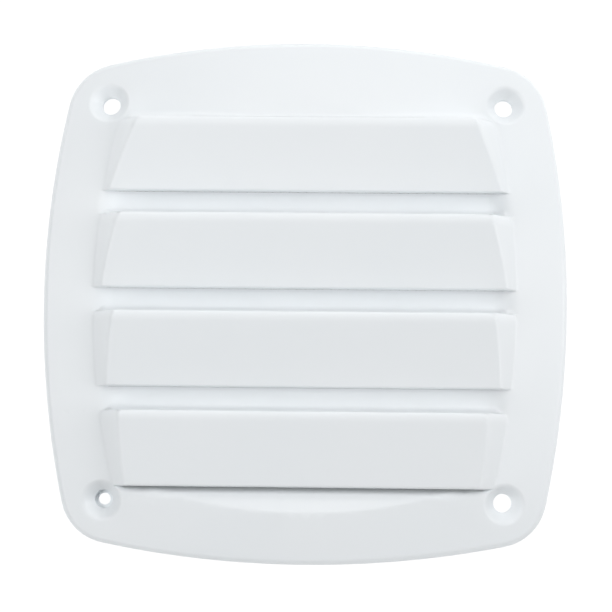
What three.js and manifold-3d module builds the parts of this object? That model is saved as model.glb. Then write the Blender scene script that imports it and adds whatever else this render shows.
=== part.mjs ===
// Louvred roof vent cover: a domed flange, four fixed louvres, and an insect screen, its frame
// and a foam gasket behind them. Millimetres, +Z out of the roof, +Y up the slope, origin at the
// centre of the back plane.
import * as THREE from 'three';
import { mergeVertices } from 'three/addons/utils/BufferGeometryUtils.js';
import Module from 'manifold-3d';

const wasm = await Module();
wasm.setup();

// ---- driving dimensions ----------------------------------------------------------------------

const coverHalf = 42.5;          // centre to the middle of each side
const sideRadius = 169;          // bow of the four sides
const cornerRadius = 8.4;
const domeApex = 11.5;           // height of the dome at the centre
const domeRadius = 160;
const wall = 1.8;                // moulded wall of the flange
const rimWidth = 2;
const fitGap = 0.3;              // clearance between neighbouring pieces

const screwSpacing = 64.5;
const boreRadius = 1.5;
const sinkRadius = 3.1;          // countersink at its mouth
const bossRadius = 3;
const reliefRadius = 2.1;        // the bores widen below, up to this height
const reliefTop = 1.6;

const louverCount = 4;
const louverPitch = 15.9;
const louverFace = 12.1;         // top edge to lip, in plan
const firstTopEdge = 29.65;      // top edge of louver 1
const fieldHalfWidth = 34.1;     // louver field at its widest
const fieldSideRadius = 130;
const crownStand = 0.4;          // top edges stand this far over the dome's centre line
const firstCrownStand = 0.85;    // the one of louver 1
const lipStand = 1.2;            // lip of louver 1 above the flange beside it
const lipGrowth = 0.4;           // each lip below it stands this much higher
const edgeRound = 1.8;           // a top edge's rounding, along the face
const edgeDrop = 0.7;            // and its height
const wallLean = 0.3;            // plan width of the foot of a top edge's wall
const lipThickness = 1.2;
const slotHeight = 0.5;
const troughSlopes = [-0.55, 0.1];  // of a trough's floor, at the slot and at the next top edge
const bladeWall = 1.2;
const cheekSlope = 1.15;         // rise over run of the sloping cheeks
const cheekMinWidth = 0.2;
const scoopWidth = 1.6;          // end ramp of a trough
const scoopRun = 6;              // the scoop under the lowest lip runs at least out of the dome
const scoopSlope = 0.3;
const scoopRise = 0.25;          // it starts this far over the slot's floor
const scoopRound = 1.6;          // its rounded drop into the slot
const flatHalfWidth = 10;        // the shallow flat over louver 1
const flatRun = 5;
const flatMargin = 2;            // its cut runs this far past it on both sides
const flatSlope = 0.094;

const screenHalf = [35.5, 32.5]; // outside of the screen frame
const screenCorner = 15;
const ribWidth = 1;
const frameWidth = 2.6;
const frameBase = 0.3;
const ledgeWidth = 1;            // rim of the frame beside the mesh
const ledgeThickness = 0.7;      // of the frame, under the mesh
const frameTop = 2.1;
const tabHalf = 3;
const tabReach = 0.9;
const tabLow = 1;
const tabHigh = 1.7;
const gasketThickness = 1.5;
const gasketWidth = 3.3;
const meshPitch = 6;
const meshBar = 2.2;
const meshThickness = 0.4;
const meshBorder = 2;

const under = -1;                // cuts start below everything
const over = 20;                 // and end above everything

// ---- solids ----------------------------------------------------------------------------------

function solid(geometry) {
  const bare = geometry.clone();
  bare.deleteAttribute('normal');
  bare.deleteAttribute('uv');
  const merged = mergeVertices(bare, 1e-5);
  return new wasm.Manifold(new wasm.Mesh({
    numProp: 3,
    vertProperties: new Float32Array(merged.attributes.position.array),
    triVerts: new Uint32Array(merged.index.array),
  }));
}

function part(name, manifold, material) {
  const { vertProperties, triVerts } = manifold.getMesh();
  const geometry = new THREE.BufferGeometry();
  geometry.setAttribute('position', new THREE.BufferAttribute(vertProperties, 3));
  geometry.setIndex(new THREE.BufferAttribute(triVerts, 1));
  geometry.computeVertexNormals();
  const mesh = new THREE.Mesh(geometry, material);
  mesh.name = name;
  return mesh;
}

// A shape in the XY plane, from height low to height high.
function prism(shape, low, high, curveSegments = 8) {
  const geometry = new THREE.ExtrudeGeometry(shape, {
    depth: high - low, bevelEnabled: false, curveSegments,
  });
  geometry.translate(0, 0, low);
  return solid(geometry);
}

// A YZ outline, run along X from -halfWidth to halfWidth.
function alongX(outline, halfWidth) {
  const shape = new THREE.Shape(outline.map(([y, z]) => new THREE.Vector2(y, z)));
  const geometry = new THREE.ExtrudeGeometry(shape, { depth: 2 * halfWidth, bevelEnabled: false });
  geometry.rotateY(Math.PI / 2);
  geometry.rotateX(Math.PI / 2);
  geometry.translate(-halfWidth, 0, 0);
  return solid(geometry);
}

function cylinder(radius, low, high, x, y) {
  const geometry = new THREE.CylinderGeometry(radius, radius, high - low, 24);
  geometry.rotateX(Math.PI / 2);
  geometry.translate(x, y, (low + high) / 2);
  return solid(geometry);
}

// Turned round the Z axis from points of radius and height.
function lathe(profile, segments = 24) {
  const points = profile.map(([radius, z]) => new THREE.Vector2(radius, z));
  const geometry = new THREE.LatheGeometry(points, segments);
  geometry.rotateX(Math.PI / 2);
  return geometry;
}

function box(low, high) {
  const size = high.map((value, axis) => value - low[axis]);
  const geometry = new THREE.BoxGeometry(...size);
  geometry.translate(...high.map((value, axis) => (value + low[axis]) / 2));
  return solid(geometry);
}

// ---- outlines and heights --------------------------------------------------------------------

// The cover's outline: four bowed sides joined by round corners, drawn in by inset.
function coverOutline(inset = 0) {
  const sideCentre = coverHalf - sideRadius;
  const reach = sideRadius - cornerRadius;
  const corner = (sideCentre + Math.sqrt(2 * reach ** 2 - sideCentre ** 2)) / 2;
  const sideAngle = Math.asin(corner / reach);
  const shape = new THREE.Shape();
  for (let quarter = 0; quarter < 4; quarter += 1) {
    const turn = quarter * Math.PI / 2;
    const place = (x, y) => [
      x * Math.cos(turn) - y * Math.sin(turn),
      x * Math.sin(turn) + y * Math.cos(turn),
    ];
    shape.absarc(...place(sideCentre, 0), sideRadius - inset,
      turn - sideAngle, turn + sideAngle, false);
    shape.absarc(...place(corner, corner), cornerRadius - inset,
      turn + sideAngle, turn + Math.PI / 2 - sideAngle, false);
  }
  return shape;
}

function roundedRectangle(halfX, halfY, radius) {
  const [cx, cy] = [halfX - radius, halfY - radius];
  const shape = new THREE.Shape();
  shape.absarc(cx, -cy, radius, -Math.PI / 2, 0, false);
  shape.absarc(cx, cy, radius, 0, Math.PI / 2, false);
  shape.absarc(-cx, cy, radius, Math.PI / 2, Math.PI, false);
  shape.absarc(-cx, -cy, radius, Math.PI, 3 * Math.PI / 2, false);
  return shape;
}

function domeHeight(x, y) {
  return domeApex - domeRadius + Math.sqrt(domeRadius ** 2 - x ** 2 - y ** 2);
}

// Everything under the dome, lowered by drop.
function domeSolid(drop) {
  const outerRadius = 60;
  const floor = -5;
  const ringStep = 6;
  const profile = [[0, floor], [outerRadius, floor]];
  for (let radius = outerRadius; radius >= 0; radius -= ringStep) {
    profile.push([radius, domeHeight(radius, 0) - drop]);
  }
  return solid(lathe(profile, 60));
}

function fieldSide(y) {
  return fieldHalfWidth - fieldSideRadius + Math.sqrt(fieldSideRadius ** 2 - y ** 2);
}

const topEdge = (index) => firstTopEdge - index * louverPitch;
const lipEdge = (index) => topEdge(index) - louverFace;
const slotFloor = (index) => lipHeight(index) - lipThickness - slotHeight;

function topHeight(index) {
  return domeHeight(0, topEdge(index)) + (index === 0 ? firstCrownStand : crownStand);
}

function lipHeight(index) {
  const y = lipEdge(index);
  return domeHeight(fieldSide(y), y) + lipStand + index * lipGrowth;
}

// How far a rounded edge has dropped, this far in from where it turns upright.
function quarterRound(distance, radius) {
  return radius * (1 - Math.sqrt(1 - (1 - distance / radius) ** 2));
}

// Steps along a rounded edge, closer together where it is steeper.
const roundSteps = (radius) => [0, 0.1, 0.4, 1].map((share) => share * radius);

// ---- louvers ---------------------------------------------------------------------------------

// One row of a louver's skin: y, height in the middle, and the height and width of its ends.
function cheekRow(y, height, drop) {
  const endHeight = domeHeight(fieldSide(y), y) - drop;
  return { y, height, endHeight, endWidth: Math.max((height - endHeight) / cheekSlope, cheekMinWidth) };
}

function troughRow(y, height, drop) {
  return { y, height, endHeight: domeHeight(fieldSide(y), y) - drop, endWidth: scoopWidth };
}

// The rounded top edge and the face as far as the lip, sunk by depth at the top and the lip.
function faceRows(index, start, depth, lipDepth, drop) {
  const faceSlope = (topHeight(index) - lipHeight(index)) / louverFace;
  const rows = roundSteps(edgeRound).map((down) => {
    const y = start - down;
    const rounded = quarterRound(down, edgeRound) * edgeDrop / edgeRound;
    return cheekRow(y, topHeight(index) - (topEdge(index) - y) * faceSlope - rounded - depth, drop);
  });
  return [...rows, cheekRow(lipEdge(index) + fitGap / 2, lipHeight(index) - lipDepth, drop)];
}

// The trough under the louver above, as far as the wall at start. Louver 1 has none.
function troughRows(index, start, depth, drop) {
  if (index === 0) return [];
  const [firstSlope, lastSlope] = troughSlopes;
  const begin = lipEdge(index - 1);
  const end = start + wallLean;
  const width = begin - end;
  return [0, 1 / 3, 2 / 3, 1].map((share) => {
    const y = share > 0 ? begin - share * width : begin - fitGap / 2;
    const bend = (1 - (1 - share) ** 3) / 3;
    const valley = width * (lastSlope * share - (lastSlope - firstSlope) * bend);
    return troughRow(y, slotFloor(index - 1) + valley - depth, drop);
  });
}

function outerRows(index) {
  const start = topEdge(index);
  return [...troughRows(index, start, 0, 0), ...faceRows(index, start, 0, 0, 0)];
}

// The inner skin, row by row under the outer one.
function innerRows(index) {
  const start = index > 0 ? topEdge(index) - bladeWall : topEdge(index);
  return [
    ...troughRows(index, start, bladeWall, wall),
    ...faceRows(index, start, bladeWall, lipThickness, wall),
  ];
}

// Where column number column of a row lies: end, inner end of the cheek, middle, and so on.
function skinPoint(row, column, columns) {
  const side = fieldSide(row.y) - fitGap;
  if (column === 0 || column === columns) {
    return [column === 0 ? -side : side, row.y, row.endHeight];
  }
  const reach = side - row.endWidth;
  const along = (column - 1) / (columns - 2);
  return [reach * (2 * along - 1), row.y, row.height];
}

function louverSolid(index) {
  const outer = outerRows(index);
  const inner = innerRows(index);
  const columns = 10;
  const steps = outer.length - 1;
  const geometry = new THREE.BoxGeometry(1, 1, 1, columns, steps, 1);
  const position = geometry.attributes.position;
  for (let vertex = 0; vertex < position.count; vertex += 1) {
    const column = Math.round((position.getX(vertex) + 0.5) * columns);
    const step = Math.round((0.5 - position.getY(vertex)) * steps);
    const rows = position.getZ(vertex) > 0 ? outer : inner;
    position.setXYZ(vertex, ...skinPoint(rows[step], column, columns));
  }
  return solid(geometry);
}

// ---- flange ----------------------------------------------------------------------------------

const screwPlaces = [[-1, 1], [1, 1], [-1, -1], [1, -1]].map(
  (signs) => signs.map((sign) => sign * screwSpacing / 2),
);

// Bore, wider below, and a 90 degree countersink that is square to the dome.
function screwHole([x, y]) {
  const surface = domeHeight(x, y);
  const bore = lathe([
    [0, under], [reliefRadius, under], [reliefRadius, reliefTop], [boreRadius, reliefTop],
    [boreRadius, surface], [0, surface],
  ]);
  bore.translate(x, y, 0);
  const sink = lathe([[0, -sinkRadius], [sinkRadius, 0], [sinkRadius, over], [0, over]]);
  const outward = new THREE.Vector3(x, y, surface - domeApex + domeRadius).normalize();
  const upward = new THREE.Vector3(0, 0, 1);
  sink.applyQuaternion(new THREE.Quaternion().setFromUnitVectors(upward, outward));
  sink.translate(x, y, surface);
  return solid(bore).add(solid(sink));
}

// The opening that the louvers fill, between the first top edge and the last lip.
function fieldOpening() {
  const low = lipEdge(louverCount - 1);
  const angle = (y) => Math.asin(y / fieldSideRadius);
  const centre = fieldHalfWidth - fieldSideRadius;
  const shape = new THREE.Shape();
  shape.absarc(centre, 0, fieldSideRadius, angle(low), angle(firstTopEdge), false);
  shape.absarc(-centre, 0, fieldSideRadius,
    Math.PI - angle(firstTopEdge), Math.PI - angle(low), false);
  return prism(shape, frameTop + fitGap, over, 12);
}

// The scoop under the lowest lip, from its floor up to top, or down by thickness.
function lowestScoop(thickness) {
  const start = lipEdge(louverCount - 1);
  const floor = slotFloor(louverCount - 1) + scoopRise;
  const surface = [...roundSteps(scoopRound), scoopRun].map((out) => {
    const rounded = quarterRound(Math.min(out, scoopRound), scoopRound);
    return [start - out, floor + out * scoopSlope - rounded];
  });
  const other = thickness > 0
    ? surface.map(([y, z]) => [y, z - thickness]).reverse()
    : [[start - scoopRun, over], [start, over]];
  return alongX([...surface, ...other], fieldSide(start) - scoopWidth / 2);
}

// A shallow flat in the dome over the middle of louver 1's top edge.
function crownFlat() {
  const start = domeHeight(flatHalfWidth, firstTopEdge);
  const end = firstTopEdge + flatRun;
  return alongX([
    [firstTopEdge, start], [end, start - flatRun * flatSlope], [end, over], [firstTopEdge, over],
  ], flatHalfWidth + flatMargin);
}

// The screen frame's outline, drawn out by grow.
function screenOutline(grow) {
  const [halfX, halfY] = screenHalf;
  return roundedRectangle(halfX + grow, halfY + grow, screenCorner + grow);
}

// The rib that the screen frame snaps into, with a window in the middle of each side.
function screenRib() {
  const ring = prism(screenOutline(fitGap + ribWidth), frameBase, domeApex)
    .subtract(prism(screenOutline(fitGap), under, over));
  return snapTabs(fitGap, 2 * ribWidth).reduce((left, window) => left.subtract(window), ring);
}

// Four snap tabs on the frame, or with clearance added, the windows that they sit in.
function snapTabs(clearance, extra) {
  const [halfX, halfY] = screenHalf;
  const reach = tabReach + extra;
  const half = tabHalf + clearance;
  const low = tabLow - clearance;
  const high = tabHigh + clearance;
  return [
    box([halfX - ledgeWidth, -half, low], [halfX + reach, half, high]),
    box([-halfX - reach, -half, low], [-halfX + ledgeWidth, half, high]),
    box([-half, halfY - ledgeWidth, low], [half, halfY + reach, high]),
    box([-half, -halfY - reach, low], [half, -halfY + ledgeWidth, high]),
  ];
}

function flangeSolid() {
  const outer = prism(coverOutline(), 0, over).intersect(domeSolid(0));
  const hollow = prism(coverOutline(rimWidth), under, over).intersect(domeSolid(wall));
  const bosses = screwPlaces.map(([x, y]) => cylinder(bossRadius, 0, domeApex, x, y));
  const inside = [screenRib(), lowestScoop(bladeWall), ...bosses];
  let flange = outer.subtract(hollow);
  flange = inside.reduce((sum, piece) => sum.add(piece.intersect(outer)), flange);
  const cuts = [fieldOpening(), lowestScoop(0), crownFlat(), ...screwPlaces.map(screwHole)];
  return cuts.reduce((left, cut) => left.subtract(cut), flange);
}

// ---- pieces behind the louvers ---------------------------------------------------------------

function screenFrameSolid() {
  const body = prism(screenOutline(0), frameBase, frameTop);
  const rebate = prism(screenOutline(-ledgeWidth), frameBase + ledgeThickness, over);
  const middle = prism(screenOutline(-frameWidth), under, over);
  return snapTabs(0, 0).reduce((sum, tab) => sum.add(tab), body).subtract(rebate).subtract(middle);
}

// The mesh is a coarse grid here: the same outside, fewer and wider bars.
function insectScreenSolid() {
  const [halfX, halfY] = screenHalf;
  const edge = -ledgeWidth - fitGap;
  const low = frameBase + ledgeThickness + fitGap;
  const high = low + meshThickness;
  const sheet = prism(screenOutline(edge), low, high);
  const bars = [sheet.subtract(prism(screenOutline(edge - meshBorder), under, over))];
  const half = meshBar / 2;
  for (let x = meshPitch / 2; x < halfX - meshBorder; x += meshPitch) {
    bars.push(box([x - half, -halfY, low], [x + half, halfY, high]));
    bars.push(box([-x - half, -halfY, low], [-x + half, halfY, high]));
  }
  for (let y = meshPitch / 2; y < halfY - meshBorder; y += meshPitch) {
    bars.push(box([-halfX, y - half, low], [halfX, y + half, high]));
    bars.push(box([-halfX, -y - half, low], [halfX, -y + half, high]));
  }
  return bars.reduce((sum, bar) => sum.add(bar)).intersect(sheet);
}

function gasketSolid() {
  const inset = rimWidth + fitGap;
  const around = bossRadius + fitGap;
  let gasket = prism(coverOutline(inset), 0, gasketThickness)
    .subtract(prism(coverOutline(inset + gasketWidth), under, over))
    .subtract(prism(screenOutline(ribWidth + 2 * fitGap), under, over));
  for (const [x, y] of screwPlaces) {
    gasket = gasket.subtract(cylinder(around, under, over, x, y));
  }
  return gasket;
}

// ---- materials and assembly ------------------------------------------------------------------

const whiteAbs = () => new THREE.MeshStandardMaterial({
  color: 0xeef0f2, roughness: 0.35, metalness: 0,
});
const greyMesh = new THREE.MeshStandardMaterial({ color: 0x9a9c9c, roughness: 0.6, metalness: 0 });
const blackFoam = new THREE.MeshStandardMaterial({ color: 0x2a2b2c, roughness: 0.95, metalness: 0 });

const vent = new THREE.Group();
vent.add(part('cover_flange', flangeSolid(), whiteAbs()));
for (let index = 0; index < louverCount; index += 1) {
  const holes = screwPlaces.map(screwHole);
  const blade = holes.reduce((left, hole) => left.subtract(hole), louverSolid(index));
  vent.add(part(`louver_${index + 1}`, blade, whiteAbs()));
}
vent.add(part('screen_frame', screenFrameSolid(), whiteAbs()));
vent.add(part('insect_screen', insectScreenSolid(), greyMesh));
vent.add(part('sealing_gasket', gasketSolid(), blackFoam));

export default vent;
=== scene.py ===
"""Looks of the louvred roof vent cover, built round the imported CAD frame.

Every moulded piece is a closed solid over its plan: one triangulation of the plan, an upper and a
lower height for each point of it, and walls where the piece ends. Heights and plans are in
millimetres here, and the meshes are in metres.
"""

import math

import bpy
import numpy as np
from mathutils import Matrix, Vector
from mathutils.geometry import delaunay_2d_cdt
from mathutils.kdtree import KDTree


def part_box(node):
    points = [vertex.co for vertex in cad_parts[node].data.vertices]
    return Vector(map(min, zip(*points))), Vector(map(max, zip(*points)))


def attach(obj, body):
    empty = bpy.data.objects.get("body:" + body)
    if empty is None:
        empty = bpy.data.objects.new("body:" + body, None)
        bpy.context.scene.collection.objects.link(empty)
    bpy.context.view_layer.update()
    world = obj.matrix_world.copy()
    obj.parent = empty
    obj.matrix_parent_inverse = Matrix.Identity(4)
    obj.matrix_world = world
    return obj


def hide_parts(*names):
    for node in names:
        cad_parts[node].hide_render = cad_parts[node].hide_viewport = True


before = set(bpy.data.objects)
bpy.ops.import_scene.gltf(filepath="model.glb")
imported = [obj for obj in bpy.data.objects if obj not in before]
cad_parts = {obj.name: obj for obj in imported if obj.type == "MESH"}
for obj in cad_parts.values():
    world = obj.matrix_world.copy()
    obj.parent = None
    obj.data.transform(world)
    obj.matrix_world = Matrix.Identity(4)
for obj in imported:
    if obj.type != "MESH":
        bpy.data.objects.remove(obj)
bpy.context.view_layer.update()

MM = 0.001

# ---- sizes, in millimetres -------------------------------------------------------------------


def cad_size(node, corner, axis):
    """One coordinate of a CAD node's box: corner 0 is the lowest, 1 the highest."""
    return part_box(node)[corner][axis] / MM


COVER_HALF = cad_size("cover_flange", 1, 0)
SIDE_RADIUS = 169.0
CORNER_RADIUS = 8.4
DOME_APEX = 11.5
DOME_RADIUS = 160.0
WALL = 1.8
RIM_WIDTH = 2.0
RIM_ROUND = 0.9
FIT_GAP = 0.3

SCREW_AT = 32.25           # of each screw, across and up from the middle
BORE = 1.5                 # radius
SINK = 3.1                 # radius where a countersink meets the dome
SINK_SOFT = 0.4            # rounding of that edge
SINK_LEAN = 0.2            # the countersinks lean out with the dome
BOSS = 3.0                 # radius
RELIEF = 2.1               # radius of the bores' wider lower end, and how high it reaches
RELIEF_TOP = 1.6
FLASH_BORE = 0.95          # one bore is partly closed at the back by a ring of flash
FLASH_THICK = 0.3

LOUVERS = 4
TOP_EDGE = cad_size("louver_1", 1, 1)
PITCH = cad_size("louver_2", 0, 1) - cad_size("louver_3", 0, 1)
FACE = 12.1
FIELD_HALF = 34.1
FIELD_RADIUS = 130.0
CROWN_STAND = 0.4
FIRST_CROWN_STAND = 0.85
LIP_STAND = 1.2            # of louver 1 over the dome; each one below it stands higher
LIP_GROWTH = 0.4
EDGE_ROUND = 1.8
EDGE_DROP = 0.7
LIP_THICK = 1.2
LIP_ROUND = 0.4
SLOT = 0.5
LAST_DIP = 1.6             # the rounded drop of the flange into the lowest slot
TROUGH_SLOPES = (-0.55, 0.1)   # of a trough's floor, at the slot and at the next top edge
TROUGH_FOOT = 1.2
BLADE_WALL = 1.2
CHEEK_SLOPE = 1.15
CHEEK_CREASE = 0.35        # rounding of the cheek's ridge, and of its foot
CHEEK_FOOT = 0.3
SCOOP_IN = 3.4             # a trough's end ramp, inside and outside the field's edge
SCOOP_OUT = 0.8
SCOOP_SLOPE = 0.3
SCOOP_RISE = 0.25          # the scoop under the last lip starts this far over its slot's floor
SCOOP_SOFT = 0.12          # rounding where it runs out into the dome
FLAT_HALF = 10.0           # the shallow flat over louver 1
FLAT_SLOPE = 0.094
FLAT_SOFT = 0.06
HOOD_SOFT = 0.5            # rounding inside a louver, where its face and its cheeks meet
STEEP = 0.04               # plan width of a wall that is all but upright
LEAST_WALL = 0.02          # a lower wall than this has no rounded foot

SCREEN_HALF = (35.5, 32.5)
SCREEN_CORNER = 15.0
RIB = 1.0
TAB_HALF = 3.0
FRAME_WIDTH = 2.6
FRAME_RIM = 1.0            # width of its higher outer part, with rounded edges
FRAME_ROUND = 0.2
FRAME_BASE = cad_size("screen_frame", 0, 2)
FRAME_TOP = cad_size("screen_frame", 1, 2)
LEDGE_TOP = FRAME_BASE + 0.7
TAB_REACH = 0.9            # the frame's tabs, beyond its outline
TAB_LOW, TAB_HIGH = 1.0, 1.7
GASKET_TOP = cad_size("sealing_gasket", 1, 2)
GASKET_WIDTH = 3.3
GASKET_ROUND = 0.25
THREAD = 0.26
THREAD_PITCH = 1.4
THREAD_GAP = 0.05          # between the threads and the frame's ledge
THREAD_SIDES = 6

SCREWS = [(sx * SCREW_AT, sy * SCREW_AT) for sx in (-1, 1) for sy in (1, -1)]
FLASH_SCREW = (-SCREW_AT, -SCREW_AT)

# Spacing of the points that meshes are made from.
RIM_STEP = 0.6
HIDDEN_STEP = 1.2          # on curves that only shape the underside
HOLE_STEP = 0.22
FLASH_STEP = 0.2
EDGE_STEP = 0.9            # along the louvers' edges
FIELD_STEP = 0.5           # along the two ends of the louver field
CREASE_STEP = 0.7
PIECE_STEP = 0.8           # for the frame and the seal
SCREEN_STEP = 1.5          # longest straight stretch of a screen outline
GRID_STEP = 1.1            # over the open parts of the moulding

# ---- heights and distances, for arrays of points -----------------------------------------------


def dome(x, y):
    """The plate's upper surface, part of a ball."""
    return DOME_APEX - DOME_RADIUS + np.sqrt(DOME_RADIUS**2 - x**2 - y**2)


def smooth_min(a, b, reach):
    overlap = np.clip(1 - np.abs(a - b) / reach, 0, 1)
    return np.minimum(a, b) - overlap**2 * reach / 4


def smooth_max(a, b, reach):
    return -smooth_min(-a, -b, reach)


def mix(a, b, share):
    return a + (b - a) * share


def smooth_step(value):
    value = np.clip(value, 0, 1)
    return value * value * (3 - 2 * value)


def quarter_round(distance, radius):
    """How far a rounded edge has dropped, this far in from where it turns upright."""
    inner = np.clip(1 - distance / radius, 0, 1)
    return radius * (1 - np.sqrt(1 - inner**2))


def field_end(y):
    """How far from the middle the louver field ends, to either side."""
    return FIELD_HALF - FIELD_RADIUS + np.sqrt(FIELD_RADIUS**2 - y**2)


SIDE_CENTRE = COVER_HALF - SIDE_RADIUS
SIDE_REACH = SIDE_RADIUS - CORNER_RADIUS
CORNER_AT = (SIDE_CENTRE + math.sqrt(2 * SIDE_REACH**2 - SIDE_CENTRE**2)) / 2
SIDE_ANGLE = math.asin(CORNER_AT / SIDE_REACH)


def rim_inset(x, y):
    """Distance in from the cover's outline."""
    x, y = np.abs(x), np.abs(y)
    side = SIDE_RADIUS - np.hypot(x - SIDE_CENTRE, y)
    head = SIDE_RADIUS - np.hypot(x, y - SIDE_CENTRE)
    corner = CORNER_RADIUS - np.hypot(x - CORNER_AT, y - CORNER_AT)
    beside = np.arctan2(y, x - SIDE_CENTRE) > SIDE_ANGLE
    under = np.arctan2(x, y - SIDE_CENTRE) > SIDE_ANGLE
    return np.where(beside & under, corner, np.minimum(side, head))


def screen_grow(x, y):
    """Distance out from the screen frame's outline."""
    out_x = np.abs(x) - (SCREEN_HALF[0] - SCREEN_CORNER)
    out_y = np.abs(y) - (SCREEN_HALF[1] - SCREEN_CORNER)
    corner = np.hypot(np.maximum(out_x, 0), np.maximum(out_y, 0))
    return corner + np.minimum(np.maximum(out_x, out_y), 0) - SCREEN_CORNER


def screw_distance(x, y):
    return np.hypot(np.abs(x) - SCREW_AT, np.abs(y) - SCREW_AT)


def flash_distance(x, y):
    """Distance from the bore that has the ring of flash."""
    return np.hypot(x - FLASH_SCREW[0], y - FLASH_SCREW[1])


def sink_reach(x, y):
    """Radius of the countersink's ring through a point; wider rings lie further out."""
    lean = SINK_LEAN / math.sqrt(2)
    x = np.abs(x) - SCREW_AT + lean * BORE
    y = np.abs(y) - SCREW_AT + lean * BORE
    outward = lean * (x + y)
    scale = 1 - SINK_LEAN**2
    return (np.sqrt(outward**2 + scale * (x**2 + y**2)) - outward) / scale


def top_edge(index):
    return TOP_EDGE - index * PITCH


def lip_edge(index):
    return top_edge(index) - FACE


def crown(index):
    stand = FIRST_CROWN_STAND if index == 0 else CROWN_STAND
    return float(dome(0.0, top_edge(index))) + stand


def lip_height(index):
    at = lip_edge(index)
    return float(dome(field_end(at), at)) + LIP_STAND + index * LIP_GROWTH


def slot_floor(index):
    return lip_height(index) - LIP_THICK - SLOT


def blade(index, x, y):
    """Upper surface of a louver and of the flange beside it."""
    down = top_edge(index) - y
    face = mix(crown(index), lip_height(index), down / FACE)
    cheek = dome(field_end(y), y) + CHEEK_SLOPE * (field_end(y) - np.abs(x))
    rounded = quarter_round(down, EDGE_ROUND) * EDGE_DROP / EDGE_ROUND
    rounded = rounded + quarter_round(FACE - down, LIP_ROUND)
    return smooth_min(
        face - rounded, smooth_max(cheek - rounded, dome(x, y), CHEEK_FOOT), CHEEK_CREASE
    )


def scooped(floor, plate, x, y):
    """A trough's floor, rising to the plate at both ends."""
    share = (np.abs(x) - field_end(y) + SCOOP_IN) / (SCOOP_IN + SCOOP_OUT)
    return mix(floor, plate, smooth_step(share))


def foot(base, index, x, y):
    """Base with the concave foot of louver index's upper wall."""
    edge = top_edge(index)
    wall = blade(index, x, np.full_like(y, edge)) - base
    radius = np.clip(wall, LEAST_WALL, TROUGH_FOOT)
    return base + np.where(wall > LEAST_WALL, quarter_round(y - edge - STEEP, radius), 0)


def trough_floor(index, y):
    """A shallow valley between lip index and the top edge of the next louver."""
    first, last = TROUGH_SLOPES
    width = PITCH - FACE
    share = np.clip((lip_edge(index) - y) / width, 0, 1)
    bend = (1 - (1 - share) ** 3) / 3
    return slot_floor(index) + width * (last * share - (last - first) * bend)


def trough(index, x, y):
    base = scooped(trough_floor(index, y), dome(x, y), x, y)
    return foot(base, index + 1, x, y)


def above_field(x, y):
    """The plate over louver 1, with its shallow flat."""
    start = float(dome(FLAT_HALF, TOP_EDGE))
    flat = start - FLAT_SLOPE * (y - TOP_EDGE)
    return foot(smooth_min(dome(x, y), flat, FLAT_SOFT), 0, x, y)


def scoop_dip(y):
    """The rounded drop into the lowest slot."""
    return quarter_round(lip_edge(LOUVERS - 1) - y, LAST_DIP)


def scoop_floor(y):
    last = LOUVERS - 1
    return slot_floor(last) + SCOOP_RISE + SCOOP_SLOPE * (lip_edge(last) - y)


def below_field(x, y):
    """The plate under the last louver, with the scoop."""
    floor = smooth_min(scoop_floor(y), dome(x, y), SCOOP_SOFT) - scoop_dip(y)
    return scooped(floor, dome(x, y), x, y)


def past(edge, y):
    """1 from a line at edge downward, and 0 from STEEP above it."""
    return np.clip((edge + STEEP - y) / STEEP, 0, 1)


def walled(outside, inside, distance):
    """One height where distance is under zero, and another beyond an all but upright wall."""
    return mix(inside, outside, np.clip(distance / STEEP, 0, 1))


def plate_top(x, y):
    """Upper surface of the flange, stepping beside the louvers' edges, without the screw holes."""
    height = above_field(x, y)
    for index in range(LOUVERS):
        edge = top_edge(index)
        height = mix(height, blade(index, x, np.minimum(y, edge)), past(edge, y))
        after = trough(index, x, y) if index < LOUVERS - 1 else below_field(x, y)
        height = mix(height, after, past(lip_edge(index), y))
    return height


def flange_top(x, y):
    """With the countersinks, and the ring of flash at the foot of one bore."""
    plate = plate_top(x, y) - quarter_round(rim_inset(x, y), RIM_ROUND)
    reach = sink_reach(x, y)
    cone = smooth_min(plate, dome(x, y) - SINK + np.maximum(reach, BORE), SINK_SOFT)
    sunk = walled(plate, cone, reach - SINK - SINK_SOFT)
    return walled(RELIEF_TOP + FLASH_THICK, sunk, BORE - flash_distance(x, y))


def flange_bottom(x, y):
    """With the rim, the rib that holds the frame, and the screw bosses."""
    under = dome(x, y) - WALL
    scoop = scooped(scoop_floor(y) - scoop_dip(y) - BLADE_WALL, under, x, y)
    below = y < lip_edge(LOUVERS - 1) + STEEP / 2
    under = np.where(below, np.minimum(under, scoop), under)
    under = walled(under, 0.0, rim_inset(x, y) - RIM_WIDTH)
    rib_middle = FIT_GAP + RIB / 2
    from_notch = TAB_HALF + FIT_GAP - np.minimum(np.abs(x), np.abs(y))
    rib_foot = walled(TAB_HIGH + FIT_GAP, FRAME_BASE, from_notch)
    under = walled(under, rib_foot, np.abs(screen_grow(x, y) - rib_middle) - RIB / 2)
    under = walled(under, 0.0, screw_distance(x, y) - BOSS)
    return walled(under, RELIEF_TOP, screw_distance(x, y) - RELIEF)


def louver_top(index):
    """Upper surface of a louver and of the trough above it."""
    edge = top_edge(index)

    def height(x, y):
        above = above_field(x, y) if index == 0 else trough(index - 1, x, y)
        return mix(above, blade(index, x, np.minimum(y, edge)), past(edge, y))

    return height


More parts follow.
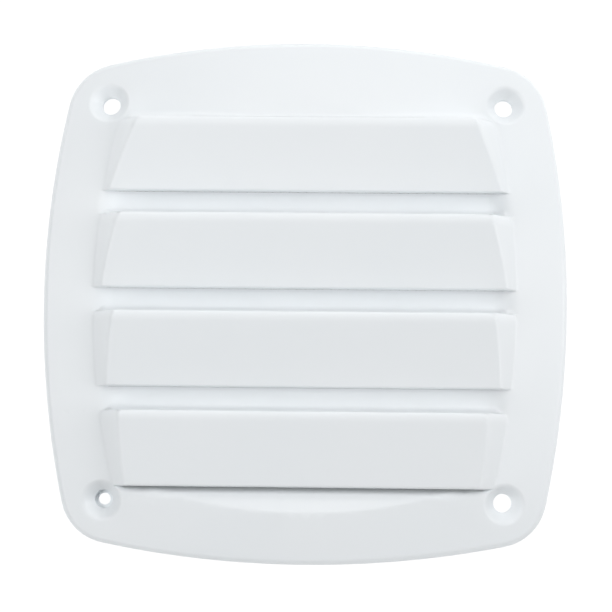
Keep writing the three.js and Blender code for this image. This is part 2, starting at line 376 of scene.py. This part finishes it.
def louver_bottom(index):
    """Underside of a louver, down to its lip, and of the trough's floor above it."""
    edge = top_edge(index)

    def height(x, y):
        down = (edge - y) / FACE
        face = mix(crown(index) - BLADE_WALL, lip_height(index) - LIP_THICK, down)
        cheek = dome(field_end(y), y) - WALL + CHEEK_SLOPE * (field_end(y) - np.abs(x))
        hood = smooth_min(face, np.maximum(cheek, dome(x, y) - WALL), HOOD_SOFT)
        if index == 0:
            back = dome(x, y) - WALL
        else:
            floor = trough_floor(index - 1, y) - BLADE_WALL
            back = scooped(floor, dome(x, y) - WALL, x, y)
        return mix(back, hood, past(edge - BLADE_WALL - STEEP, y))

    return height


# ---- plans: curves that a triangulation follows -----------------------------------------------


class Plan:
    """Points and edges in the plane, triangulated together."""

    MERGE = 1e-4       # points closer than this become one
    LEAST_TURN = 1e-7  # triangles of less than half this area are left out

    def __init__(self):
        self.points = []
        self.edges = []

    def curve(self, points, closed=False):
        start = len(self.points)
        self.points += [tuple(p) for p in points]
        count = len(points)
        self.edges += [(start + i, start + i + 1) for i in range(count - 1)]
        if closed:
            self.edges.append((start + count - 1, start))

    def fill(self, points, clearance):
        """Adds loose points, except those close to what is there."""
        tree = KDTree(len(self.points))
        for i, (x, y) in enumerate(self.points):
            tree.insert((x, y, 0), i)
        tree.balance()
        for x, y in points:
            if tree.find((x, y, 0))[2] > clearance:
                self.points.append((x, y))

    def triangles(self):
        """Corner coordinates, and triangles that all turn the same way."""
        made = delaunay_2d_cdt([Vector(p) for p in self.points], self.edges, [], 0, self.MERGE)
        at = np.array([tuple(v) for v in made[0]], float)
        faces = np.array([tuple(f) for f in made[2]], int)
        a, b, c = (at[faces[:, i]] for i in range(3))
        turn = (b - a)[:, 0] * (c - a)[:, 1] - (b - a)[:, 1] * (c - a)[:, 0]
        faces[turn < 0] = faces[turn < 0][:, ::-1]
        return at, faces[np.abs(turn) > self.LEAST_TURN]


def spaced(start, end, step):
    return np.linspace(start, end, max(2, math.ceil(abs(end - start) / step) + 1))


def arc(cx, cy, radius, start, end, step):
    count = max(2, math.ceil(abs(end - start) * radius / step) + 1)
    return [
        (cx + radius * math.cos(a), cy + radius * math.sin(a))
        for a in np.linspace(start, end, count)
    ]


def circle(cx, cy, radius, step):
    return arc(cx, cy, radius, 0, 2 * math.pi, step)[:-1]


def cover_outline(inset, step):
    """The cover's outline, this far in."""
    points = []
    for quarter in range(4):
        turn = quarter * math.pi / 2
        cos, sin = round(math.cos(turn)), round(math.sin(turn))
        side = arc(SIDE_CENTRE, 0, SIDE_RADIUS - inset, -SIDE_ANGLE, SIDE_ANGLE, step)
        corner = arc(CORNER_AT, CORNER_AT, CORNER_RADIUS - inset,
                     SIDE_ANGLE, math.pi / 2 - SIDE_ANGLE, step)
        quarter_points = side[:-1] + corner[:-1]
        points += [(x * cos - y * sin, x * sin + y * cos) for x, y in quarter_points]
    return points


def screen_outline(grow, step):
    """The screen frame's outline, this far out."""
    points = []
    radius = SCREEN_CORNER + grow
    half_x, half_y = SCREEN_HALF
    for quarter, (sx, sy) in enumerate([(1, 1), (-1, 1), (-1, -1), (1, -1)]):
        turn = quarter * math.pi / 2
        points += arc(sx * (half_x - SCREEN_CORNER), sy * (half_y - SCREEN_CORNER),
                      radius, turn, turn + math.pi / 2, step)
    closed = []
    for here, after in zip(points, points[1:] + points[:1]):
        count = max(1, math.ceil(math.dist(here, after) / SCREEN_STEP))
        for i in range(count):
            closed.append((mix(here[0], after[0], i / count), mix(here[1], after[1], i / count)))
    return closed


def field_side(sign, offset, low, high, step):
    """A line beside the end of the louver field, this far outside it."""
    return [(sign * (field_end(y) + offset), y) for y in spaced(low, high, step)]


def across(y, reach, step):
    """A level line, this far to either side."""
    return [(x, y) for x in spaced(-reach, reach, step)]


# ---- meshes ------------------------------------------------------------------------------------

CORNER_STEP_IN = 0.08              # share of the way to a triangle's middle
SHARP_ANGLE = math.radians(32)


def surface_normals(at, faces, height):
    """The surface's own normal at each corner of each triangle, felt from inside the triangle."""
    corners = at[faces]
    inside = mix(corners, corners.mean(axis=1, keepdims=True), CORNER_STEP_IN).reshape(-1, 2)
    x, y = inside[:, 0], inside[:, 1]
    reach = STEEP / 16
    slope_x = (height(x + reach, y) - height(x - reach, y)) / (2 * reach)
    slope_y = (height(x, y + reach) - height(x, y - reach)) / (2 * reach)
    normals = np.stack([-slope_x, -slope_y, np.ones_like(x)], axis=1)
    normals /= np.linalg.norm(normals, axis=1, keepdims=True)
    return normals


def slab(name, at, faces, top, bottom):
    """A closed solid between two heights over the triangles."""
    used, faces = np.unique(faces, return_inverse=True)
    faces = faces.reshape(-1, 3)
    at = at[used]
    count = len(at)
    x, y = at[:, 0], at[:, 1]
    points = np.concatenate([
        np.column_stack([x, y, top(x, y)]),
        np.column_stack([x, y, bottom(x, y)]),
    ])
    edges = np.concatenate([faces[:, [0, 1]], faces[:, [1, 2]], faces[:, [2, 0]]])
    keys = edges[:, 0] * count + edges[:, 1]
    border = edges[~np.isin(keys, edges[:, 1] * count + edges[:, 0])]
    a, b = border[:, 0], border[:, 1]
    walls = np.stack([a, a + count, b + count, b], axis=1)
    under = faces[:, ::-1] + count
    mesh = bpy.data.meshes.new(name)
    polygons = faces.tolist() + under.tolist() + walls.tolist()
    mesh.from_pydata((points * MM).tolist(), [], polygons)
    mesh.update()
    normals = np.concatenate([
        surface_normals(at, faces, top),
        -surface_normals(at, faces[:, ::-1], bottom),
        np.zeros((walls.size, 3)),
    ])
    return finished(name, mesh, normals)


def finished(name, mesh, normals=None):
    """An object with smooth shading. A normal of zero length leaves Blender's own."""
    mesh.shade_smooth()
    mesh.set_sharp_from_angle(angle=SHARP_ANGLE)
    if normals is not None:
        mesh.normals_split_custom_set(normals.tolist())
    piece = bpy.data.objects.new(name, mesh)
    bpy.context.scene.collection.objects.link(piece)
    return piece


def tubes(name, paths, radius, sides):
    """Closed round tubes along paths of points."""
    points, faces = [], []
    ring = [(math.cos(a), math.sin(a)) for a in np.linspace(0, 2 * math.pi, sides + 1)[:-1]]
    for path in paths:
        path = np.array(path, float)
        along = np.gradient(path, axis=0)
        along /= np.linalg.norm(along, axis=1, keepdims=True)
        side = np.cross(along, (0, 0, 1))
        side /= np.linalg.norm(side, axis=1, keepdims=True)
        other = np.cross(along, side)
        start = len(points)
        for i, centre in enumerate(path):
            points += [tuple(centre + radius * (c * side[i] + s * other[i])) for c, s in ring]
        for i in range(len(path) - 1):
            low = start + i * sides
            for j in range(sides):
                after = (j + 1) % sides
                faces.append((low + j, low + after, low + sides + after, low + sides + j))
        last = start + (len(path) - 1) * sides
        faces.append(tuple(start + j for j in reversed(range(sides))))
        faces.append(tuple(last + j for j in range(sides)))
    mesh = bpy.data.meshes.new(name)
    mesh.from_pydata((np.array(points) * MM).tolist(), [], faces)
    mesh.update()
    return finished(name, mesh)


# ---- the moulding: flange and louvers ----------------------------------------------------------


def sink_ring(sx, sy, radius, step):
    """One ring of a leaning countersink."""
    out = 1 + SINK_LEAN * (radius - BORE) / math.hypot(sx, sy)
    return circle(sx * out, sy * out, radius, step)


def scoop_crease(step):
    """Where the scoop under the lowest lip meets the dome."""
    level = float(scoop_floor(0.0)) - DOME_APEX + DOME_RADIUS
    scale = 1 + SCOOP_SLOPE**2
    crease = []
    for x in spaced(-FIELD_HALF + SCOOP_IN, FIELD_HALF - SCOOP_IN, step):
        inside = (level * SCOOP_SLOPE) ** 2 - scale * (level**2 + x**2 - DOME_RADIUS**2)
        crease.append((x, (level * SCOOP_SLOPE - math.sqrt(inside)) / scale))
    return crease


def draw_rims(plan):
    """The rounded rim, and below it the edge wall and the rib."""
    for share in (0, 0.02, 0.09, 0.22, 0.42, 0.68, 1):
        plan.curve(cover_outline(RIM_ROUND * share, RIM_STEP), closed=True)
    for inset in (RIM_WIDTH, RIM_WIDTH + STEEP):
        plan.curve(cover_outline(inset, HIDDEN_STEP), closed=True)
    for grow in (FIT_GAP - STEEP, FIT_GAP, FIT_GAP + RIB, FIT_GAP + RIB + STEEP):
        plan.curve(screen_outline(grow, HIDDEN_STEP), closed=True)


def draw_holes(plan):
    """The bores with their bosses, reliefs and countersinks, and the ring of flash."""
    ring_gap, point_gap, clearance = 0.16, 0.25, 0.07
    for sx, sy in SCREWS:
        for radius in (BORE, RELIEF, RELIEF + STEEP, BOSS, BOSS + STEEP):
            plan.curve(circle(sx, sy, radius, HOLE_STEP), closed=True)
        for radius in (SINK + SINK_SOFT, SINK + SINK_SOFT + STEEP):
            plan.curve(sink_ring(sx, sy, radius, HOLE_STEP), closed=True)
        for radius in spaced(BORE + 0.1, SINK + SINK_SOFT, ring_gap):
            plan.fill(sink_ring(sx, sy, radius, point_gap), clearance)
    for radius in (BORE - STEEP, FLASH_BORE):
        plan.curve(circle(*FLASH_SCREW, radius, FLASH_STEP), closed=True)


def draw_notches(plan):
    """The ends of the four notches in the rib, one for each tab of the frame."""
    half_x, half_y = SCREEN_HALF
    past_rib = RIB + 2 * FIT_GAP
    for end in (TAB_HALF + FIT_GAP, TAB_HALF + FIT_GAP - STEEP):
        for side in (-end, end):
            for out in (-1, 1):
                plan.curve([(out * half_x, side), (out * (half_x + past_rib), side)])
                plan.curve([(side, out * half_y), (side, out * (half_y + past_rib))])


def draw_louvers(plan):
    """The edges of the louvers, a little longer than the field is wide, and the field's ends."""
    overrun = 1.4
    for sign in (-1, 1):
        plan.curve(field_side(sign, 0, lip_edge(LOUVERS - 1), TOP_EDGE + STEEP, FIELD_STEP))
    for index in range(LOUVERS):
        edge, lip = top_edge(index), lip_edge(index)
        reach = field_end(edge) + overrun
        for share in (0, 0.015, 0.06, 0.13, 0.24, 0.4, 0.6, 0.8, 1):
            plan.curve(across(edge - EDGE_ROUND * share, reach, EDGE_STEP))
        plan.curve(across(edge + STEEP, reach, EDGE_STEP))
        for share in (0.08, 0.25, 0.5, 0.75, 1):
            plan.curve(across(edge + STEEP + TROUGH_FOOT * share, reach, EDGE_STEP))
        reach = field_end(lip) + overrun
        for share in (0, 0.1, 0.3, 0.6, 1):
            plan.curve(across(lip + LIP_ROUND * share, reach, EDGE_STEP))
        back = edge - BLADE_WALL
        for y in (back, back - STEEP):
            plan.curve(across(y, field_end(y), EDGE_STEP))
    plan.curve(scoop_crease(CREASE_STEP))


def fill_cheeks(plan):
    """Closely spaced points over the cheeks and the ends of the troughs."""
    offsets = np.arange(-3.6, 2.2, 0.3)
    point_gap, clearance, margin = 0.45, 0.1, 1
    low, high = lip_edge(LOUVERS - 1) - margin, TOP_EDGE + STEEP + margin
    rows = [
        field_side(sign, offset, low, high, point_gap) for sign in (-1, 1) for offset in offsets
    ]
    plan.fill([point for row in rows for point in row], clearance)


def fill_rest(plan):
    """A grid of points over everything inside the rim, set off the middle lines."""
    off_x, off_y, clearance, margin = 0.27, 0.31, 0.35, 0.3
    steps = np.arange(-COVER_HALF, COVER_HALF, GRID_STEP)
    grid = [(x + off_x, y + off_y) for x in steps for y in steps]
    plan.fill([(x, y) for x, y in grid if rim_inset(x, y) > RIM_ROUND + margin], clearance)


def moulding_plan():
    plan = Plan()
    for draw in (draw_rims, draw_holes, draw_notches, draw_louvers, fill_cheeks, fill_rest):
        draw(plan)
    return plan.triangles()


def moulding_pieces():
    """The flange and the louvers, cut from one plan so that their edges meet."""
    at, faces = moulding_plan()
    x, y = at[faces].mean(axis=1).T
    solid = rim_inset(x, y) > 0
    flash = (flash_distance(x, y) > FLASH_BORE) & (flash_distance(x, y) < BORE)
    solid &= (screw_distance(x, y) > BORE) | flash
    in_field = (np.abs(x) < field_end(y)) & (y > lip_edge(LOUVERS - 1)) & (y < TOP_EDGE + STEEP)
    in_field &= sink_reach(x, y) > SINK + SINK_SOFT + STEEP
    flange = slab("flange", at, faces[solid & ~in_field], flange_top, flange_bottom)
    made = {"cover_flange": flange}
    for index in range(LOUVERS):
        own = in_field & (y > lip_edge(index)) & (y < lip_edge(index) + PITCH)
        node = f"louver_{index + 1}"
        made[node] = slab(f"louver_blade_{index + 1}", at, faces[own],
                          louver_top(index), louver_bottom(index))
    return made


# ---- the pieces behind the louvers -------------------------------------------------------------


def in_tab(x, y):
    beyond = (screen_grow(x, y) > 0) & (screen_grow(x, y) < TAB_REACH)
    return beyond & (np.minimum(np.abs(x), np.abs(y)) < TAB_HALF)


def frame_top(x, y):
    """A rim with rounded edges, a lower ledge inside it for the mesh, and the tabs outside."""
    grow = screen_grow(x, y)
    ledge = walled(FRAME_TOP, LEDGE_TOP, grow + FRAME_RIM)
    from_edge = FRAME_RIM / 2 - np.abs(grow + FRAME_RIM / 2 + STEEP / 2)
    rounded = ledge - quarter_round(from_edge, FRAME_ROUND)
    body = np.where(grow > -FRAME_RIM, rounded, ledge)
    return np.where(grow > STEEP / 2, TAB_HIGH, body)


def frame_bottom(x, y):
    """Flat, with the tabs clear of it."""
    return np.where(screen_grow(x, y) > STEEP / 2, TAB_LOW, FRAME_BASE)


def screen_frame():
    plan = Plan()
    outer = [-FRAME_ROUND * share for share in (0, 0.25, 0.6, 1)]
    inner = [-FRAME_RIM - grow for grow in reversed(outer)]
    for grow in [TAB_REACH, STEEP, *outer, *inner, -FRAME_RIM - STEEP, -FRAME_WIDTH]:
        plan.curve(screen_outline(grow, PIECE_STEP), closed=True)
    half_x, half_y = SCREEN_HALF
    for side in (-1, 1):
        for end in (-TAB_HALF, TAB_HALF):
            plan.curve([(side * half_x, end), (side * (half_x + TAB_REACH), end)])
            plan.curve([(end, side * half_y), (end, side * (half_y + TAB_REACH))])
    at, faces = plan.triangles()
    x, y = at[faces].mean(axis=1).T
    grow = screen_grow(x, y)
    ring = (grow < 0) & (grow > -FRAME_WIDTH)
    return slab("screen_holder", at, faces[ring | in_tab(x, y)], frame_top, frame_bottom)


def sealing_gasket():
    plan = Plan()
    inset = RIM_WIDTH + FIT_GAP
    for share in (0, 0.24, 0.56, 1):
        plan.curve(cover_outline(inset + GASKET_ROUND * share, PIECE_STEP), closed=True)
    plan.curve(cover_outline(inset + GASKET_WIDTH, PIECE_STEP), closed=True)
    plan.curve(screen_outline(RIB + 2 * FIT_GAP, PIECE_STEP), closed=True)
    for sx, sy in SCREWS:
        plan.curve(circle(sx, sy, BOSS + FIT_GAP, PIECE_STEP / 2), closed=True)
    at, faces = plan.triangles()
    x, y = at[faces].mean(axis=1).T
    keep = (rim_inset(x, y) > inset) & (rim_inset(x, y) < inset + GASKET_WIDTH)
    keep &= screen_grow(x, y) > RIB + 2 * FIT_GAP
    keep &= screw_distance(x, y) > BOSS + FIT_GAP
    return slab(
        "foam_gasket", at, faces[keep],
        lambda x, y: GASKET_TOP - quarter_round(rim_inset(x, y) - inset, GASKET_ROUND),
        lambda x, y: quarter_round(rim_inset(x, y) - inset, GASKET_ROUND),
    )


def insect_screen():
    """Woven threads, cut to the frame's rebate."""
    middle = LEDGE_TOP + THREAD + THREAD_GAP
    margin = FRAME_RIM + FIT_GAP
    half_x, half_y = (half - margin for half in SCREEN_HALF)
    corner = SCREEN_CORNER - margin
    paths = []
    for along, half_here, half_there in ((0, half_x, half_y), (1, half_y, half_x)):
        count = math.floor(half_there / THREAD_PITCH)
        for row in range(-count, count + 1):
            place = row * THREAD_PITCH
            into = max(abs(place) - (half_there - corner), 0)
            reach = half_here - corner + math.sqrt(corner**2 - into**2)
            if reach < THREAD_PITCH:
                continue
            path = []
            for s in spaced(-reach, reach, THREAD_PITCH / 4):
                wave = math.cos(math.pi * s / THREAD_PITCH) * (-1) ** (row + along)
                z = middle + wave * THREAD / 2
                path.append((s, place, z) if along == 0 else (place, s, z))
            paths.append(path)
    return tubes("woven_screen", paths, THREAD / 2, THREAD_SIDES)


# ---- materials ---------------------------------------------------------------------------------


def material(name, colour, roughness):
    """A material, its nodes and its shader. Colour and roughness hold where no node sets them."""
    made = bpy.data.materials.new(name)
    made.use_nodes = True
    shader = made.node_tree.nodes["Principled BSDF"]
    shader.inputs["Base Color"].default_value = (*colour, 1)
    shader.inputs["Roughness"].default_value = roughness
    return made, made.node_tree, shader


def noise(tree, scale, detail):
    place = tree.nodes.new("ShaderNodeTexCoord")
    texture = tree.nodes.new("ShaderNodeTexNoise")
    texture.inputs["Scale"].default_value = scale
    texture.inputs["Detail"].default_value = detail
    tree.links.new(place.outputs["Object"], texture.inputs["Vector"])
    return texture


def spread(tree, texture, low, high):
    """The texture's values, drawn out to the range low to high."""
    node = tree.nodes.new("ShaderNodeMapRange")
    node.inputs["From Min"].default_value = 0.3
    node.inputs["From Max"].default_value = 0.7
    node.inputs["To Min"].default_value = low
    node.inputs["To Max"].default_value = high
    tree.links.new(texture.outputs["Fac"], node.inputs["Value"])
    return node.outputs["Result"]


def tint(tree, shader, share, first, second):
    """A base colour that turns from the first to the second with the share."""
    node = tree.nodes.new("ShaderNodeMix")
    node.data_type = "RGBA"
    node.inputs[6].default_value = (*first, 1)
    node.inputs[7].default_value = (*second, 1)
    tree.links.new(share, node.inputs["Factor"])
    tree.links.new(node.outputs[2], shader.inputs["Base Color"])


def bump(tree, shader, height, depth):
    """Bumps from a socket's values, this many millimetres deep."""
    node = tree.nodes.new("ShaderNodeBump")
    node.inputs["Distance"].default_value = depth * MM
    tree.links.new(height, node.inputs["Height"])
    tree.links.new(node.outputs["Normal"], shader.inputs["Normal"])


def white_abs():
    """Moulded white plastic: satin gloss, with faint flow in its colour and sheen."""
    made, tree, shader = material("white_abs", (0.85, 0.88, 0.9), 0.4)
    flow = noise(tree, 45, 3)
    tint(tree, shader, spread(tree, flow, 0, 1), (0.84, 0.874, 0.897), (0.855, 0.884, 0.905))
    grain = noise(tree, 900, 4)
    tree.links.new(spread(tree, grain, 0.36, 0.46), shader.inputs["Roughness"])
    bump(tree, shader, noise(tree, 2600, 3).outputs["Fac"], 0.004)
    return made


def frame_plastic():
    """Duller and greyer, with a fine grain."""
    made, tree, shader = material("frame_plastic", (0.78, 0.79, 0.78), 0.6)
    flow = noise(tree, 80, 3)
    tint(tree, shader, spread(tree, flow, 0, 1), (0.76, 0.77, 0.76), (0.8, 0.81, 0.8))
    bump(tree, shader, noise(tree, 5000, 4).outputs["Fac"], 0.01)
    return made


def screen_mesh():
    """Grey coated thread, unevenly dusty."""
    made, tree, shader = material("screen_mesh", (0.4, 0.41, 0.41), 0.55)
    dust = noise(tree, 160, 4)
    tint(tree, shader, spread(tree, dust, 0, 1), (0.36, 0.37, 0.37), (0.45, 0.46, 0.45))
    return made


def gasket_foam():
    """Black closed-cell foam."""
    made, tree, shader = material("gasket_foam", (0.025, 0.026, 0.028), 0.9)
    cells = tree.nodes.new("ShaderNodeTexVoronoi")
    cells.inputs["Scale"].default_value = 2200
    place = tree.nodes.new("ShaderNodeTexCoord")
    tree.links.new(place.outputs["Object"], cells.inputs["Vector"])
    bump(tree, shader, cells.outputs["Distance"], 0.08)
    return made


# ---- object ------------------------------------------------------------------------------------


def place(piece, node, slot, look):
    piece.data.materials.append(look)
    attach(piece, "root")
    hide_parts(node)


abs_look = white_abs()
for node_name, moulded in moulding_pieces().items():
    place(moulded, node_name, "cover_plastic", abs_look)
place(screen_frame(), "screen_frame", "frame_plastic", frame_plastic())
place(insect_screen(), "insect_screen", "screen_mesh", screen_mesh())
place(sealing_gasket(), "sealing_gasket", "gasket_foam", gasket_foam())

# ---- floor, light, camera ----------------------------------------------------------------------

TILT = math.radians(5.34)   # the camera stands a little below and to the right of straight ahead
ASIDE = math.radians(1.45)
ROLL = math.radians(0.51)
EYE = (0.009, -0.033, 0.35)
LENS = 125.6
SENSOR = 36

LIGHT_FAR = 1.5
LIGHT_SIZE = 0.9
LIGHTS = {                 # azimuth, elevation, watts
    "top_low": (180, 12, 7.8),
    "top_high": (180, 60, 4.5),
    "top_right": (135, 32, 2.3),
    "right": (90, 32, 11),
    "left_high": (270, 60, 7.8),
    "bottom_left": (315, 32, 5.7),
}
SURROUND = 0.05            # strength of the even light from all around
FLOOR_HALF = 2000.0
FLOOR_GLOW = 0.97
# glow of the patch under the cover: painted shade, dimmer than the white floor
PAINTED_SHADE_GLOW = 0.45


def ground(name, half_x, half_y, height, look):
    """A flat rectangle of floor, in millimetres."""
    corners = [(sx * half_x, sy * half_y, height) for sx, sy in ((-1, -1), (1, -1), (1, 1), (-1, 1))]
    mesh = bpy.data.meshes.new(name)
    mesh.from_pydata((np.array(corners) * MM).tolist(), [], [(0, 1, 2, 3)])
    mesh.materials.append(look)
    piece = bpy.data.objects.new(name, mesh)
    bpy.context.scene.collection.objects.link(piece)


def glowing(name, strength):
    made, _, shader = material(name, (0.1, 0.1, 0.1), 0.9)
    shader.inputs["Emission Color"].default_value = (1, 1, 1, 1)
    shader.inputs["Emission Strength"].default_value = strength
    return made


def studio_floor():
    """A floor that glows white, and a dimmer patch behind the slots that is painted shade, where the
    cover would shade the floor.
    """
    white = glowing("floor_white", FLOOR_GLOW)
    ground("floor", FLOOR_HALF, FLOOR_HALF, -0.05, white)
    half_x, half_y = (half - FRAME_WIDTH for half in SCREEN_HALF)
    # painted shade: a patch that glows less, standing in for the cover's shade behind the slots
    ground("floor_painted_shade_patch", half_x, half_y, -0.02, glowing("floor_painted_shade", PAINTED_SHADE_GLOW))


def softbox(name, azimuth, elevation, power):
    """A square soft light. Azimuth 0 is below the picture, and 90 is to its right."""
    a, e = math.radians(azimuth), math.radians(elevation)
    back = Vector((math.sin(a) * math.cos(e), -math.cos(a) * math.cos(e), math.sin(e)))
    lamp = bpy.data.lights.new(name, "AREA")
    lamp.size = LIGHT_SIZE
    lamp.energy = power
    light = bpy.data.objects.new(name, lamp)
    light.location = back * LIGHT_FAR
    light.rotation_mode = "QUATERNION"
    light.rotation_quaternion = (-back).to_track_quat("-Z", "Y")
    bpy.context.scene.collection.objects.link(light)


def studio_light():
    world = bpy.data.worlds.new("studio")
    world.use_nodes = True
    world.node_tree.nodes["Background"].inputs["Color"].default_value = (1, 1, 1, 1)
    world.node_tree.nodes["Background"].inputs["Strength"].default_value = SURROUND
    bpy.context.scene.world = world
    for name, (azimuth, elevation, power) in LIGHTS.items():
        softbox(name, azimuth, elevation, power)
    bpy.context.scene.view_settings.view_transform = "Standard"


def photo_camera():
    lens = bpy.data.cameras.new("photo_camera")
    lens.sensor_width = SENSOR
    lens.lens = LENS
    camera = bpy.data.objects.new("photo_camera", lens)
    turn = Matrix.Rotation(TILT, 4, "X") @ Matrix.Rotation(ASIDE, 4, "Y")
    turn = turn @ Matrix.Rotation(ROLL, 4, "Z")
    camera.rotation_mode = "QUATERNION"
    camera.rotation_quaternion = turn.to_quaternion()
    camera.location = EYE
    bpy.context.scene.collection.objects.link(camera)
    bpy.context.scene.camera = camera


studio_floor()
studio_light()
photo_camera()
